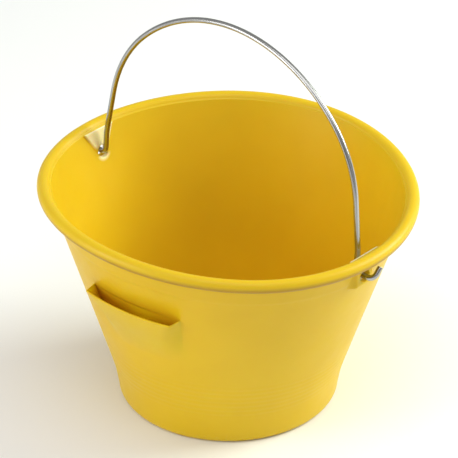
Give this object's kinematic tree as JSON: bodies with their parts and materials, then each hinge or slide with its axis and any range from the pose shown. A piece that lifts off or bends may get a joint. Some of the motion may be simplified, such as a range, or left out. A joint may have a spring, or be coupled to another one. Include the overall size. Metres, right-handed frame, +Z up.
{
  "type": "builder's bucket",
  "caption": "Yellow moulded plastic bucket with a rolled rim, a finger grip pocket on one side and a swinging steel wire bail.",
  "frame": {"origin": "middle of the foot ring, on the surface the bucket stands on", "axes": "+X along the bail's hinge axis, -Y towards the side with the finger grip, +Z up"},
  "size_m": [0.3424, 0.3176, 0.3541],
  "materials": {
    "yellow_plastic": "moulded yellow plastic, soft gloss",
    "galvanised_wire": "drawn galvanised steel wire"
  },
  "bodies": {
    "bucket": {"bucket_body": "yellow_plastic"},
    "bail": {"wire_bail": "galvanised_wire"}
  },
  "joints": [
    {"name": "bail_swing", "type": "hinge", "parent": "bucket", "child": "bail", "pos_m": [0, 0, 0.179], "axis": [1, 0, 0], "range_deg": [-64, 74]}
  ]
}
